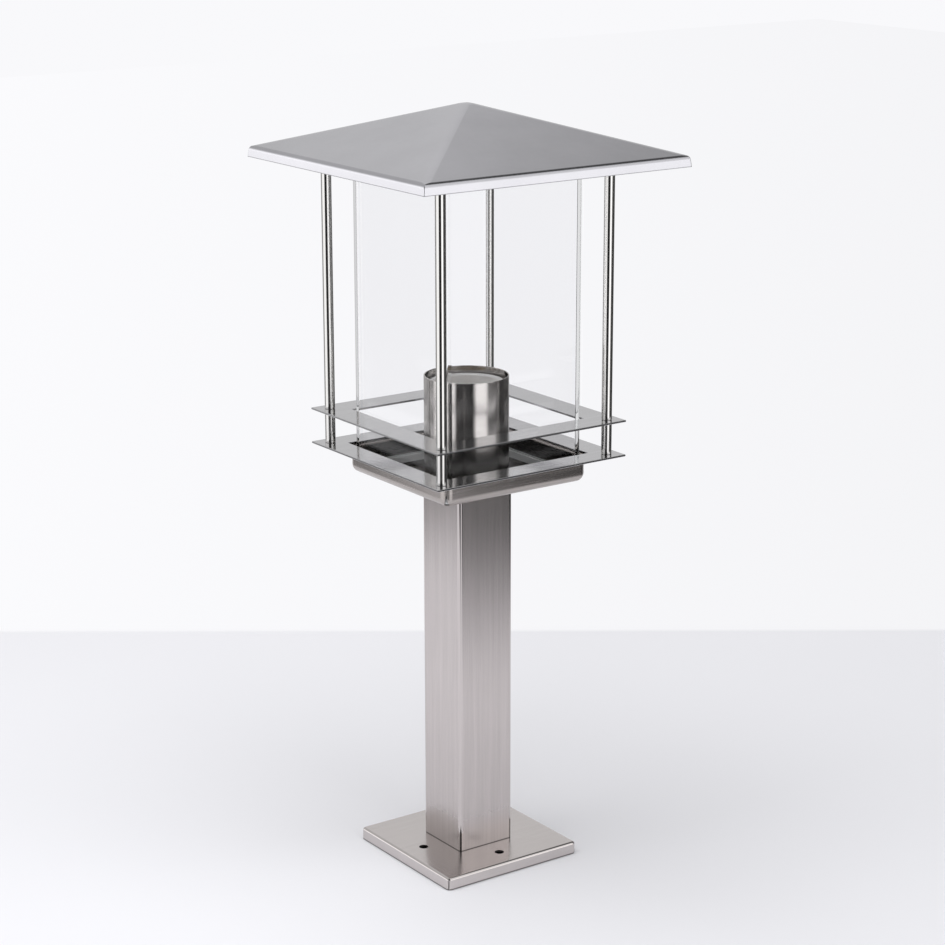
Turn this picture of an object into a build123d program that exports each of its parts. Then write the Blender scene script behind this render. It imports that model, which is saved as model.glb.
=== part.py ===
"""Square stainless-steel pedestal lantern, in millimetres, +Z up, origin under the middle of the base.

The stand is a folded base plate, a square post and a drawn tray that carries the lampholder. The cage is a
pyramid roof on four rods with two flat square frames, set down on the tray's flange. The glass box stands in
the tray, inside both frames.
"""

import os
from math import cos, isclose, radians, tan

from build123d import *

# Stand
base_side = 93.5
base_height = 7.4
base_sheet = 1.5
base_corner = 2.5
base_bend = 1.8
base_opening = 31.0
base_opening_corner = 2.0
fixing_circle = 65.0
fixing_hole = 5.5
fixing_count = 3
fixing_start = 90.0
fixing_sweep = 180.0
post_side = 38.0
post_wall = 1.5
post_corner = 2.2
post_length = 225.6
post_cap_sheet = 3.0

# Tray
tray_side = 99.8
tray_sheet = 0.8
tray_depth = 15.8
tray_corner = 5.5
tray_bend = 5.0
tray_flange_side = 123.0
tray_rim_bend = 2.0

# Frames, spacers and rods
frame_side = 130.8
frame_sheet = 1.2
frame_edge = 0.2
lower_window = 100.0
upper_window = 96.5
rod_spacing = 115.0
rod_diameter = 6.0
rod_length = 152.1
rod_chamfer = 0.3
spacer_length = 19.2
stud_diameter = 3.0
stud_grip = 8.0
rod_screw_head = 5.6

# Roof
roof_side = 180.0
roof_sheet = 1.0
roof_pitch = radians(17.35)
skirt_height = 6.05
skirt_lean = radians(7.0)
skirt_corner = 0.6
eave_bend = 3.2
apex_bend = 16.1
hip_radius = 12.0
roof_pan_side = 130.4
roof_pan_sheet = 1.0
roof_pan_depth = 6.8
roof_pan_corner = 3.0
roof_pan_bend = 2.0
roof_nut_flats = 5.5
roof_nut_height = 2.4

# Glass and its seals
glass_side = 95.0
glass_wall = 3.0
glass_corner = 4.0
glass_raise = 2.4
seat_lip = 0.9
seat_height = 4.2
top_seal_thickness = 2.0
top_seal_overhang = 1.0

# Lampholder and its sleeve
sleeve_diameter = 47.3
sleeve_height = 60.2
sleeve_sheet = 0.8
sleeve_bend = 2.0
holder_diameter = 43.0
holder_height = 43.2
holder_raise = 12.4
holder_edge = 1.2
holder_web = 4.0
holder_recess = 8.0
holder_recess_diameter = 24.4
collar_bore = 36.4
collar_depth = 8.2
shell_bore = 26.7
shell_sheet = 0.5
shell_height = 17.5
shell_raise = 7.0
shell_leg_width = 6.0
well_diameter = 24.8
contact_width = 6.0
contact_sheet = 0.6
contact_rise = 5.0
contact_tip = 2.5
contact_margin = 2.5
rivet_diameter = 3.0
rivet_reach = 9.0
terminal_side = 5.0
bracket_width = 14.0
bracket_sheet = 1.2
bracket_base = 24.0
bracket_foot = 7.0
holder_screw_diameter = 2.6
holder_screw_head = 5.0
holder_screw_head_height = 1.8
holder_screw_grip = 7.0

# Threaded tube through the tray, with its nuts
nipple_diameter = 10.0
nipple_bore = 8.0
nipple_end = 1.5
nipple_nut_flats = 14.0
nipple_nut_height = 3.0
nipple_washer_diameter = 17.4
nipple_washer_sheet = 1.0

# Screws into the post cap
tray_screw_spacing = 23.0
tray_screw_diameter = 4.0
tray_screw_head = 7.0
tray_screw_head_height = 2.4
tray_screw_end = 1.5

# Wiring inside the post
wire_diameter = 2.2
wire_pitch = 9.0
wire_spread = 3.2
wire_start = 20.0
wire_slant = 60.0
wire_bend = 60.0
wire_hook = 4.0
wire_tail = 3.5
block_width = 28.0
block_depth = 13.8
block_height = 16.0
block_foot = 20.0
block_groove = 1.2
block_screw_diameter = 3.4
block_screw_depth = 6.0
block_screw_inset = 1.0
block_screw_margin = 4.0
block_bracket_width = 22.0
block_bracket_sheet = 1.2
block_bracket_foot = 14.0
earth_reach = 13.2
earth_tag_length = 5.5
earth_tag_width = 5.6
earth_tag_sheet = 0.6
earth_barrel_diameter = 3.8
earth_barrel_length = 5.0
earth_screw_diameter = 3.0
earth_screw_head = 5.6
earth_screw_head_height = 2.0

# Clearances
thread_clearance = 0.1
hole_clearance = 0.2
weld_clearance = 0.05
lift_clearance = 0.3
bracket_clearance = 1.0

# Heights, from the ground up
post_top = base_height + post_length
cap_foot = post_top - post_cap_sheet
tray_floor = post_top + tray_sheet
flange_top = post_top + tray_depth
flange_foot = flange_top - tray_sheet
spacer_foot = flange_top + frame_sheet
upper_frame_foot = spacer_foot + spacer_length
rod_foot = upper_frame_foot + frame_sheet
roof_pan_foot = rod_foot + rod_length
roof_pan_floor = roof_pan_foot + roof_pan_sheet
glass_foot = tray_floor + glass_raise
glass_top = roof_pan_foot - top_seal_thickness
sleeve_floor = tray_floor + sleeve_sheet
sleeve_top = tray_floor + sleeve_height
bracket_floor = sleeve_floor + bracket_sheet
holder_foot = sleeve_floor + holder_raise
web_foot = holder_foot + holder_recess
web_top = web_foot + holder_web
shell_foot = web_top + shell_raise
shell_top = shell_foot + shell_height
terminal_foot = web_foot - terminal_side
nipple_top = bracket_floor + nipple_nut_height + nipple_end
lower_nut_foot = cap_foot - nipple_washer_sheet - nipple_nut_height
nipple_foot = lower_nut_foot - nipple_end
block_top = block_foot + block_height
earth_barrel_foot = cap_foot - earth_tag_sheet - earth_barrel_length

# Holes that line up through several pieces
nipple_hole = nipple_diameter + 2 * hole_clearance
tray_screw_hole = tray_screw_diameter + 2 * hole_clearance

# Roof lines: the rim of the pan meets the roof sheet from inside
roof_slope = tan(roof_pitch)
skirt_flare = tan(skirt_lean)
roof_pan_rim = roof_pan_foot + roof_pan_depth
roof_apex = roof_pan_rim + weld_clearance + roof_slope * roof_pan_side / 2 + roof_sheet / cos(roof_pitch)
skirt_foot = roof_apex - roof_slope * (roof_side / 2 - skirt_flare * skirt_height) - skirt_height

# Places in plan
standing = (Align.CENTER, Align.CENTER, Align.MIN)
hanging = (Align.CENTER, Align.CENTER, Align.MAX)
corner_signs = {"front_left": (-1, -1), "front_right": (1, -1), "back_left": (-1, 1), "back_right": (1, 1)}
bracket_foot_middle = bracket_base / 2 + bracket_foot / 2
block_bracket_face = base_opening / 2 - bracket_clearance - block_bracket_sheet
block_middle = block_bracket_face - block_depth / 2

os.makedirs("parts", exist_ok=True)


def stand_cylinder(diameter, foot, top, mode=Mode.ADD):
    """Adds an upright cylinder between two heights to the open part, or cuts it."""
    with Locations((0, 0, foot)):
        Cylinder(diameter / 2, top - foot, align=standing, mode=mode)


def screw_hole(clearance, mode=Mode.ADD):
    """Adds, or cuts, the form of a rod screw: a countersunk head flush with the flange, and its shank."""
    head = rod_screw_head / 2 + clearance
    shank = stud_diameter / 2 + clearance
    with Locations((0, 0, flange_foot)):
        with GridLocations(rod_spacing, rod_spacing, 2, 2):
            Cone(head, shank, head - shank, align=standing, mode=mode)
            Cylinder(shank, spacer_foot + stud_grip - flange_foot, align=standing, mode=mode)


def pan_form(side, corner, bend, foot, top):
    """Returns an upright square block with rounded corners and a rounded lower edge."""
    with BuildPart() as form:
        with BuildSketch(Plane.XY.offset(foot)):
            RectangleRounded(side, side, corner)
        extrude(amount=top - foot)
        fillet(form.faces().sort_by(Axis.Z)[0].edges(), bend)
    return form.part


def cup_form(diameter, bend, foot, top):
    """Returns an upright cylinder with a rounded lower edge."""
    with BuildPart() as form:
        stand_cylinder(diameter, foot, top)
        fillet(form.edges().group_by(Axis.Z)[0], bend)
    return form.part


def tray_cavity(inset):
    """Returns the tray's inside as a solid, drawn in from the sheet by the inset."""
    wall = tray_sheet + inset
    return pan_form(tray_side - 2 * wall, tray_corner - wall, tray_bend - wall, post_top + wall, flange_top)


def crossed_form(points, bends):
    """Returns the solid under one bent profile pushed along both sides of the square, which meet at hips."""
    with BuildPart() as form:
        for plane, mode in ((Plane.XZ, Mode.ADD), (Plane.YZ, Mode.INTERSECT)):
            with BuildSketch(plane):
                with BuildLine():
                    FilletPolyline(*points, radius=bends)
                    Line(points[-1], points[0])
                make_face()
            extrude(amount=roof_side, both=True, mode=mode)
    return form.part


def roof_form(inset):
    """Returns the roof with its skirts as a solid, drawn in from its outer faces by the inset."""
    apex = roof_apex - inset / cos(roof_pitch)
    skirt_half = roof_side / 2 - inset / cos(skirt_lean)
    eave_half = (skirt_half - skirt_flare * (apex - skirt_foot)) / (1 - skirt_flare * roof_slope)
    eave = apex - roof_slope * eave_half
    skirt_left = (-skirt_half, skirt_foot)
    skirt_right = (skirt_half, skirt_foot)
    eave_left = (-eave_half, eave)
    eave_right = (eave_half, eave)
    bends = [eave_bend - inset, apex_bend - inset, eave_bend - inset]
    return crossed_form([skirt_left, eave_left, (0, apex), eave_right, skirt_right], bends)


def roof_slopes():
    """Returns the four roof slopes alone, run out past the skirt, with their hips rounded."""
    foot = roof_apex - roof_slope * roof_side
    with BuildPart() as slopes:
        add(crossed_form([(-roof_side, foot), (0, roof_apex), (roof_side, foot)], apex_bend))
        fillet(slopes.edges().filter_by(on_hip), hip_radius)
    return slopes.part


def on_hip(edge):
    """Tells whether an edge runs along a hip, outside the apex bend."""
    middle = edge @ 0.5
    return abs(middle.X) > apex_bend and isclose(abs(middle.X), abs(middle.Y))


def on_skirt_corner(edge):
    """Tells whether an edge is the upright edge where two skirts meet."""
    height = (edge @ 0.5).Z
    return on_hip(edge) and skirt_foot < height < skirt_foot + skirt_height / 2


def square_ring(outer, inner, outer_corner, inner_corner, foot, top):
    """Returns an upright square ring with rounded corners."""
    with BuildPart() as ring:
        with BuildSketch(Plane.XY.offset(foot)):
            RectangleRounded(outer, outer, outer_corner)
            RectangleRounded(inner, inner, inner_corner, mode=Mode.SUBTRACT)
        extrude(amount=top - foot)
    return ring.part


# Base plate: a folded pan, open underneath, with fixing holes at the back, left and front
base_cavity = base_side - 2 * base_sheet
with BuildPart() as base_plate:
    with BuildSketch():
        RectangleRounded(base_side, base_side, base_corner)
    extrude(amount=base_height)
    fillet(base_plate.faces().sort_by(Axis.Z)[-1].edges(), base_bend)
    with BuildSketch():
        RectangleRounded(base_cavity, base_cavity, base_corner - base_sheet)
    extrude(amount=base_height - base_sheet, mode=Mode.SUBTRACT)
    with BuildSketch():
        RectangleRounded(base_opening, base_opening, base_opening_corner)
        with PolarLocations(fixing_circle / 2, fixing_count, fixing_start, fixing_sweep, endpoint=True):
            Circle(fixing_hole / 2)
    extrude(amount=base_height, mode=Mode.SUBTRACT)
base_plate.part.label = "base_plate"
export_step(base_plate.part, "parts/base_plate.step")

# Post: square tube on the base plate
post_bore = post_side - 2 * post_wall
with BuildPart() as post:
    add(square_ring(post_side, post_bore, post_corner, post_corner - post_wall, base_height, post_top))
post.part.label = "post"
export_step(post.part, "parts/post.step")

# Post cap: plate welded flush into the post's top
cap_side = post_bore - 2 * weld_clearance
with BuildPart() as post_cap:
    with BuildSketch(Plane.XY.offset(cap_foot)):
        RectangleRounded(cap_side, cap_side, post_corner - post_wall)
        Circle(nipple_hole / 2, mode=Mode.SUBTRACT)
        with GridLocations(tray_screw_spacing, tray_screw_spacing, 2, 2):
            Circle(tray_screw_diameter / 2 + thread_clearance, mode=Mode.SUBTRACT)
        with Locations((earth_reach, 0)):
            Circle(earth_screw_diameter / 2 + thread_clearance, mode=Mode.SUBTRACT)
    extrude(amount=post_cap_sheet)
post_cap.part.label = "post_cap"
export_step(post_cap.part, "parts/post_cap.step")

# Tray: drawn pan whose flange lies under the lower frame
with BuildPart() as tray:
    add(pan_form(tray_side, tray_corner, tray_bend, post_top, flange_top))
    with BuildSketch(Plane.XY.offset(flange_foot)):
        Rectangle(tray_flange_side, tray_flange_side)
    extrude(amount=tray_sheet)
    flange_underside = tray.faces().filter_by(Plane.XY).sort_by(Axis.Z)[-2]
    fillet(flange_underside.inner_wires().edges(), tray_rim_bend - tray_sheet)
    add(tray_cavity(0), mode=Mode.SUBTRACT)
    flange_face = tray.faces().filter_by(Plane.XY).sort_by(Axis.Z)[-1]
    fillet(flange_face.inner_wires().edges(), tray_rim_bend)
    stand_cylinder(nipple_hole, post_top, tray_floor, mode=Mode.SUBTRACT)
    with Locations((0, 0, post_top)):
        with GridLocations(tray_screw_spacing, tray_screw_spacing, 2, 2):
            Cylinder(tray_screw_hole / 2, tray_sheet, align=standing, mode=Mode.SUBTRACT)
    screw_hole(lift_clearance, mode=Mode.SUBTRACT)
tray.part.label = "tray"
export_step(tray.part, "parts/tray.step")

# Screws through sleeve and tray into the post cap
with BuildPart() as tray_screws:
    with Locations((0, 0, cap_foot - tray_screw_end)):
        with GridLocations(tray_screw_spacing, tray_screw_spacing, 2, 2):
            Cylinder(tray_screw_diameter / 2, sleeve_floor - cap_foot + tray_screw_end, align=standing)
    with Locations((0, 0, sleeve_floor)):
        with GridLocations(tray_screw_spacing, tray_screw_spacing, 2, 2):
            Cylinder(tray_screw_head / 2, tray_screw_head_height, align=standing)
    fillet(tray_screws.edges().group_by(Axis.Z)[-1], tray_screw_head_height / 3)
tray_screws.part.label = "tray_screws"
export_step(tray_screws.part, "parts/tray_screws.step")

# Lower frame: flat ring on the tray's flange
with BuildPart() as lower_frame:
    with BuildSketch(Plane.XY.offset(flange_top)):
        Rectangle(frame_side, frame_side)
        Rectangle(lower_window, lower_window, mode=Mode.SUBTRACT)
    extrude(amount=frame_sheet)
    chamfer(lower_frame.edges().filter_by(Axis.Z, reverse=True), frame_edge)
    screw_hole(lift_clearance, mode=Mode.SUBTRACT)
lower_frame.part.label = "lower_frame"
export_step(lower_frame.part, "parts/lower_frame.step")

# Upper frame: the same ring with a smaller window
with BuildPart() as upper_frame:
    with BuildSketch(Plane.XY.offset(upper_frame_foot)):
        Rectangle(frame_side, frame_side)
        Rectangle(upper_window, upper_window, mode=Mode.SUBTRACT)
        with GridLocations(rod_spacing, rod_spacing, 2, 2):
            Circle(stud_diameter / 2 + hole_clearance, mode=Mode.SUBTRACT)
    extrude(amount=frame_sheet)
    chamfer(upper_frame.edges().filter_by(GeomType.LINE).filter_by(Axis.Z, reverse=True), frame_edge)
upper_frame.part.label = "upper_frame"
export_step(upper_frame.part, "parts/upper_frame.step")

# Countersunk screws from under the flange into the spacers
with BuildPart() as rod_screws:
    screw_hole(0)
rod_screws.part.label = "rod_screws"
export_step(rod_screws.part, "parts/rod_screws.step")

# Spacers and rods, one pair at each corner
for corner, (sign_x, sign_y) in corner_signs.items():
    rod_x = sign_x * rod_spacing / 2
    rod_y = sign_y * rod_spacing / 2

    with BuildPart() as spacer:
        with Locations((rod_x, rod_y, spacer_foot)):
            Cylinder(rod_diameter / 2, spacer_length, align=standing)
        chamfer(spacer.edges().filter_by(GeomType.CIRCLE), rod_chamfer)
        with Locations((rod_x, rod_y, spacer_foot)):
            bore = stud_diameter / 2 + thread_clearance
            Cylinder(bore, spacer_length, align=standing, mode=Mode.SUBTRACT)
    spacer.part.label = f"spacer_{corner}"
    export_step(spacer.part, f"parts/spacer_{corner}.step")

    with BuildPart() as rod:
        with Locations((rod_x, rod_y, rod_foot)):
            Cylinder(rod_diameter / 2, rod_length, align=standing)
        chamfer(rod.edges().filter_by(GeomType.CIRCLE), rod_chamfer)
        stud_foot = upper_frame_foot - stud_grip
        stud_top = roof_pan_floor + roof_nut_height
        with Locations((rod_x, rod_y, stud_foot)):
            Cylinder(stud_diameter / 2, stud_top - stud_foot, align=standing)
    rod.part.label = f"rod_{corner}"
    export_step(rod.part, f"parts/rod_{corner}.step")

# Roof: folded pyramid with soft hips, rounded eaves and a flared skirt
with BuildPart() as roof:
    add(roof_form(0))
    add(roof_slopes(), mode=Mode.INTERSECT)
    fillet(roof.edges().filter_by(on_skirt_corner), skirt_corner)
    add(roof_form(roof_sheet), mode=Mode.SUBTRACT)
roof.part.label = "roof"
export_step(roof.part, "parts/roof.step")

# Roof pan: folded pan welded under the roof, which takes the rods
with BuildPart() as roof_pan:
    for wall, mode in ((0, Mode.ADD), (roof_pan_sheet, Mode.SUBTRACT)):
        side = roof_pan_side - 2 * wall
        corner = roof_pan_corner - wall
        add(pan_form(side, corner, roof_pan_bend - wall, roof_pan_foot + wall, roof_pan_rim), mode=mode)
    with Locations((0, 0, roof_pan_foot)):
        with GridLocations(rod_spacing, rod_spacing, 2, 2):
            Cylinder(stud_diameter / 2 + hole_clearance, roof_pan_sheet, align=standing, mode=Mode.SUBTRACT)
roof_pan.part.label = "roof_pan"
export_step(roof_pan.part, "parts/roof_pan.step")

# Weld nuts on the roof pan
with BuildPart() as roof_nuts:
    with BuildSketch(Plane.XY.offset(roof_pan_floor)):
        with GridLocations(rod_spacing, rod_spacing, 2, 2):
            RegularPolygon(roof_nut_flats / 2, 6, major_radius=False)
            Circle(stud_diameter / 2 + thread_clearance, mode=Mode.SUBTRACT)
    extrude(amount=roof_nut_height)
roof_nuts.part.label = "roof_nuts"
export_step(roof_nuts.part, "parts/roof_nuts.step")

# Glass: square box with rounded corners, open at both ends
glass_bore = glass_side - 2 * glass_wall
with BuildPart() as glass_shade:
    add(square_ring(glass_side, glass_bore, glass_corner, glass_corner - glass_wall, glass_foot, glass_top))
glass_shade.part.label = "glass_shade"
export_step(glass_shade.part, "parts/glass_shade.step")

# Glass seat: soft channel that lies in the tray's bend and holds the glass
groove_outer = glass_side + 2 * lift_clearance
groove_inner = glass_bore - 2 * lift_clearance
groove_corner = glass_corner + lift_clearance
groove_inner_corner = glass_corner - glass_wall - lift_clearance
seat_corner = groove_corner + seat_lip
seat_outer = groove_outer + 2 * seat_lip
seat_inner = groove_inner - 2 * seat_lip
seat_top = tray_floor + seat_height
with BuildPart() as glass_seat:
    add(square_ring(seat_outer, seat_inner, seat_corner, groove_inner_corner, tray_floor, seat_top))
    add(tray_cavity(weld_clearance), mode=Mode.INTERSECT)
    groove = square_ring(groove_outer, groove_inner, groove_corner, groove_inner_corner, glass_foot, seat_top)
    add(groove, mode=Mode.SUBTRACT)
glass_seat.part.label = "glass_seat"
export_step(glass_seat.part, "parts/glass_seat.step")

# Top seal: flat soft ring between glass and roof pan
seal_outer = glass_side + 2 * top_seal_overhang
seal_inner = glass_bore - 2 * top_seal_overhang
seal_corner = glass_corner + top_seal_overhang
with BuildPart() as glass_top_seal:
    add(square_ring(seal_outer, seal_inner, seal_corner, glass_corner - glass_wall, glass_top, roof_pan_foot))
glass_top_seal.part.label = "glass_top_seal"
export_step(glass_top_seal.part, "parts/glass_top_seal.step")

# Sleeve: drawn cup round the lampholder
sleeve_bore = sleeve_diameter - 2 * sleeve_sheet
with BuildPart() as lamp_sleeve:
    add(cup_form(sleeve_diameter, sleeve_bend, tray_floor, sleeve_top))
    add(cup_form(sleeve_bore, sleeve_bend - sleeve_sheet, sleeve_floor, sleeve_top), mode=Mode.SUBTRACT)
    fillet(lamp_sleeve.edges().group_by(Axis.Z)[-1], sleeve_sheet / 3)
    stand_cylinder(nipple_hole, tray_floor, sleeve_floor, mode=Mode.SUBTRACT)
    with Locations((0, 0, tray_floor)):
        with GridLocations(tray_screw_spacing, tray_screw_spacing, 2, 2):
            Cylinder(tray_screw_hole / 2, sleeve_sheet, align=standing, mode=Mode.SUBTRACT)
lamp_sleeve.part.label = "lamp_sleeve"
export_step(lamp_sleeve.part, "parts/lamp_sleeve.step")

# Holder bracket: hat-shaped strap on the sleeve's floor
bracket_leg = bracket_base / 2 - bracket_sheet / 2
bracket_end = bracket_base / 2 + bracket_foot
bracket_low = sleeve_floor + bracket_sheet / 2
bracket_high = holder_foot - bracket_sheet / 2
with BuildPart() as holder_bracket:
    with BuildSketch(Plane.XZ):
        with BuildLine():
            FilletPolyline(
                (-bracket_end, bracket_high),
                (-bracket_leg, bracket_high),
                (-bracket_leg, bracket_low),
                (bracket_leg, bracket_low),
                (bracket_leg, bracket_high),
                (bracket_end, bracket_high),
                radius=bracket_sheet,
            )
        trace(line_width=bracket_sheet)
    extrude(amount=bracket_width / 2, both=True)
    stand_cylinder(nipple_hole, sleeve_floor, bracket_floor, mode=Mode.SUBTRACT)
    with Locations((-bracket_foot_middle, 0, bracket_high), (bracket_foot_middle, 0, bracket_high)):
        Cylinder(holder_screw_diameter / 2 + hole_clearance, 2 * bracket_sheet, mode=Mode.SUBTRACT)
holder_bracket.part.label = "holder_bracket"
export_step(holder_bracket.part, "parts/holder_bracket.step")

# Screws from the bracket into the porcelain
bracket_under = holder_foot - bracket_sheet
with BuildPart() as holder_screws:
    for side in (-1, 1):
        with Locations((side * bracket_foot_middle, 0, bracket_under)):
            Cylinder(holder_screw_diameter / 2, bracket_sheet + holder_screw_grip, align=standing)
            Cylinder(holder_screw_head / 2, holder_screw_head_height, align=hanging)
holder_screws.part.label = "holder_screws"
export_step(holder_screws.part, "parts/holder_screws.step")

# Lampholder body: porcelain with a collar and a bore for the shell above and a terminal recess below
holder_bore = shell_bore + 2 * (shell_sheet + thread_clearance)
holder_top = holder_foot + holder_height
leg_outer = shell_bore / 2 + shell_sheet
leg_place = (Align.MIN, Align.CENTER, Align.MIN)
with BuildPart() as lampholder_body:
    stand_cylinder(holder_diameter, holder_foot, holder_top)
    stand_cylinder(holder_bore, shell_foot, holder_top, mode=Mode.SUBTRACT)
    stand_cylinder(collar_bore, holder_top - collar_depth, holder_top, mode=Mode.SUBTRACT)
    fillet(lampholder_body.edges().group_by(Axis.Z)[-1], holder_edge)
    stand_cylinder(well_diameter, web_top, shell_foot, mode=Mode.SUBTRACT)
    with Locations((-leg_outer - hole_clearance, 0, web_top)):
        slot_width = shell_leg_width + 2 * hole_clearance
        Box(leg_outer, slot_width, shell_raise, align=leg_place, mode=Mode.SUBTRACT)
    stand_cylinder(holder_recess_diameter, holder_foot, web_foot, mode=Mode.SUBTRACT)
    with Locations((-rivet_reach, 0, web_foot), (rivet_reach, 0, web_foot)):
        Cylinder(rivet_diameter / 2 + thread_clearance, holder_web, align=standing, mode=Mode.SUBTRACT)
    with Locations((-bracket_foot_middle, 0, holder_foot), (bracket_foot_middle, 0, holder_foot)):
        Cylinder(
            holder_screw_diameter / 2 + thread_clearance,
            holder_screw_grip + hole_clearance,
            align=standing,
            mode=Mode.SUBTRACT,
        )
lampholder_body.part.label = "lampholder_body"
export_step(lampholder_body.part, "parts/lampholder_body.step")

# Screw shell: thread sleeve on the porcelain's step, with a leg, rivet and terminal as the side contact
tab_end = rivet_reach - rivet_diameter
with BuildPart() as screw_shell:
    stand_cylinder(shell_bore + 2 * shell_sheet, shell_foot, shell_top)
    stand_cylinder(shell_bore, shell_foot, shell_top, mode=Mode.SUBTRACT)
    with Locations((-leg_outer, 0, web_top)):
        Box(shell_sheet, shell_leg_width, shell_raise, align=leg_place)
        Box(leg_outer - tab_end, shell_leg_width, shell_sheet, align=leg_place)
    with Locations((-rivet_reach, 0, web_foot)):
        Cylinder(rivet_diameter / 2, holder_web, align=standing)
    with Locations((-rivet_reach, 0, terminal_foot)):
        Box(terminal_side, terminal_side, terminal_side, align=standing)
screw_shell.part.label = "screw_shell"
export_step(screw_shell.part, "parts/screw_shell.step")

# Centre contact: sprung tongue with its rivet and terminal
contact_low = web_top + contact_sheet / 2
contact_high = contact_low + contact_rise
with BuildPart() as centre_contact:
    with BuildSketch(Plane.XZ):
        with BuildLine():
            FilletPolyline(
                (rivet_reach + contact_margin, contact_low),
                (tab_end, contact_low),
                (contact_tip, contact_high),
                (-contact_tip, contact_high),
                radius=contact_sheet,
            )
        trace(line_width=contact_sheet)
    extrude(amount=contact_width / 2, both=True)
    with Locations((rivet_reach, 0, web_foot)):
        Cylinder(rivet_diameter / 2, holder_web, align=standing)
    with Locations((rivet_reach, 0, terminal_foot)):
        Box(terminal_side, terminal_side, terminal_side, align=standing)
centre_contact.part.label = "centre_contact"
export_step(centre_contact.part, "parts/centre_contact.step")

# Nipple: hollow threaded tube that clamps the bracket and lets the leads through
with BuildPart() as nipple:
    stand_cylinder(nipple_diameter, nipple_foot, nipple_top)
    stand_cylinder(nipple_bore, nipple_foot, nipple_top, mode=Mode.SUBTRACT)
nipple.part.label = "nipple"
export_step(nipple.part, "parts/nipple.step")

# Nuts above the bracket and below the post cap
with BuildPart() as nipple_nuts:
    for nut_foot in (bracket_floor, lower_nut_foot):
        with BuildSketch(Plane.XY.offset(nut_foot)):
            RegularPolygon(nipple_nut_flats / 2, 6, major_radius=False)
            Circle(nipple_diameter / 2 + thread_clearance, mode=Mode.SUBTRACT)
    extrude(amount=nipple_nut_height)
nipple_nuts.part.label = "nipple_nuts"
export_step(nipple_nuts.part, "parts/nipple_nuts.step")

# Washer under the post cap
with BuildPart() as nipple_washer:
    stand_cylinder(nipple_washer_diameter, cap_foot - nipple_washer_sheet, cap_foot)
    stand_cylinder(nipple_hole, cap_foot - nipple_washer_sheet, cap_foot, mode=Mode.SUBTRACT)
nipple_washer.part.label = "nipple_washer"
export_step(nipple_washer.part, "parts/nipple_washer.step")

# Terminal bracket: strip welded under the base plate, rising into the post
block_bracket_middle = block_bracket_face + block_bracket_sheet / 2
block_bracket_low = base_height - base_sheet - block_bracket_sheet / 2
with BuildPart() as terminal_bracket:
    with BuildSketch(Plane.XZ):
        with BuildLine():
            FilletPolyline(
                (block_bracket_middle, block_top),
                (block_bracket_middle, block_bracket_low),
                (block_bracket_face + block_bracket_foot, block_bracket_low),
                radius=block_bracket_sheet,
            )
        trace(line_width=block_bracket_sheet)
    extrude(amount=block_bracket_width / 2, both=True)
terminal_bracket.part.label = "terminal_bracket"
export_step(terminal_bracket.part, "parts/terminal_bracket.step")

# Terminal block: three ways, each with a screw at either end
block_front = block_bracket_face - block_depth
screw_heights = (block_foot + block_screw_margin, block_top - block_screw_margin)
screw_places = [(0, way * wire_pitch, height) for way in (-1, 0, 1) for height in screw_heights]
with BuildPart() as terminal_block:
    with Locations((block_middle, 0, block_foot)):
        Box(block_depth, block_width, block_height, align=standing)
    with Locations((block_front, -wire_pitch / 2, block_foot), (block_front, wire_pitch / 2, block_foot)):
        Box(2 * block_groove, block_groove, block_height, align=standing, mode=Mode.SUBTRACT)
    with Locations((block_front, 0, 0)):
        with Locations(*screw_places):
            Cylinder(
                block_screw_diameter / 2 + thread_clearance,
                2 * block_screw_depth,
                rotation=(0, 90, 0),
                mode=Mode.SUBTRACT,
            )
terminal_block.part.label = "terminal_block"
export_step(terminal_block.part, "parts/terminal_block.step")

# Terminal screws, let in below the block's face
with BuildPart() as terminal_screws:
    with Locations((block_front + block_screw_inset, 0, 0)):
        with Locations(*screw_places):
            Cylinder(
                block_screw_diameter / 2,
                block_screw_depth - block_screw_inset,
                rotation=(0, 90, 0),
                align=standing,
            )
terminal_screws.part.label = "terminal_screws"
export_step(terminal_screws.part, "parts/terminal_screws.step")

# Live and neutral leads: from the block, through the nipple, to the lampholder's terminals
for lead, side in (("live_wire", 1), ("neutral_wire", -1)):
    with BuildPart() as wire:
        with BuildLine() as route:
            FilletPolyline(
                (block_middle, -side * wire_pitch, block_top),
                (block_middle, -side * wire_pitch, block_top + wire_start),
                (side * wire_spread / 2, 0, block_top + wire_start + wire_slant),
                (side * wire_spread / 2, 0, nipple_top + nipple_end),
                (side * rivet_reach, 0, terminal_foot - wire_tail),
                (side * rivet_reach, 0, terminal_foot),
                radius=[wire_bend, wire_bend, wire_hook, wire_hook],
            )
        with BuildSketch(Plane(origin=route.line @ 0, z_dir=route.line % 0)):
            Circle(wire_diameter / 2)
        sweep()
    wire.part.label = lead
    export_step(wire.part, f"parts/{lead}.step")

# Earth lead: from the block to the tag under the post cap
with BuildPart() as earth_wire:
    with BuildLine() as earth_route:
        FilletPolyline(
            (block_middle, 0, block_top),
            (block_middle, 0, block_top + wire_start),
            (earth_reach, -earth_tag_length, block_top + wire_start + wire_slant),
            (earth_reach, -earth_tag_length, earth_barrel_foot),
            radius=wire_bend,
        )
    with BuildSketch(Plane(origin=earth_route.line @ 0, z_dir=earth_route.line % 0)):
        Circle(wire_diameter / 2)
    sweep()
earth_wire.part.label = "earth_wire"
export_step(earth_wire.part, "parts/earth_wire.step")

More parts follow.
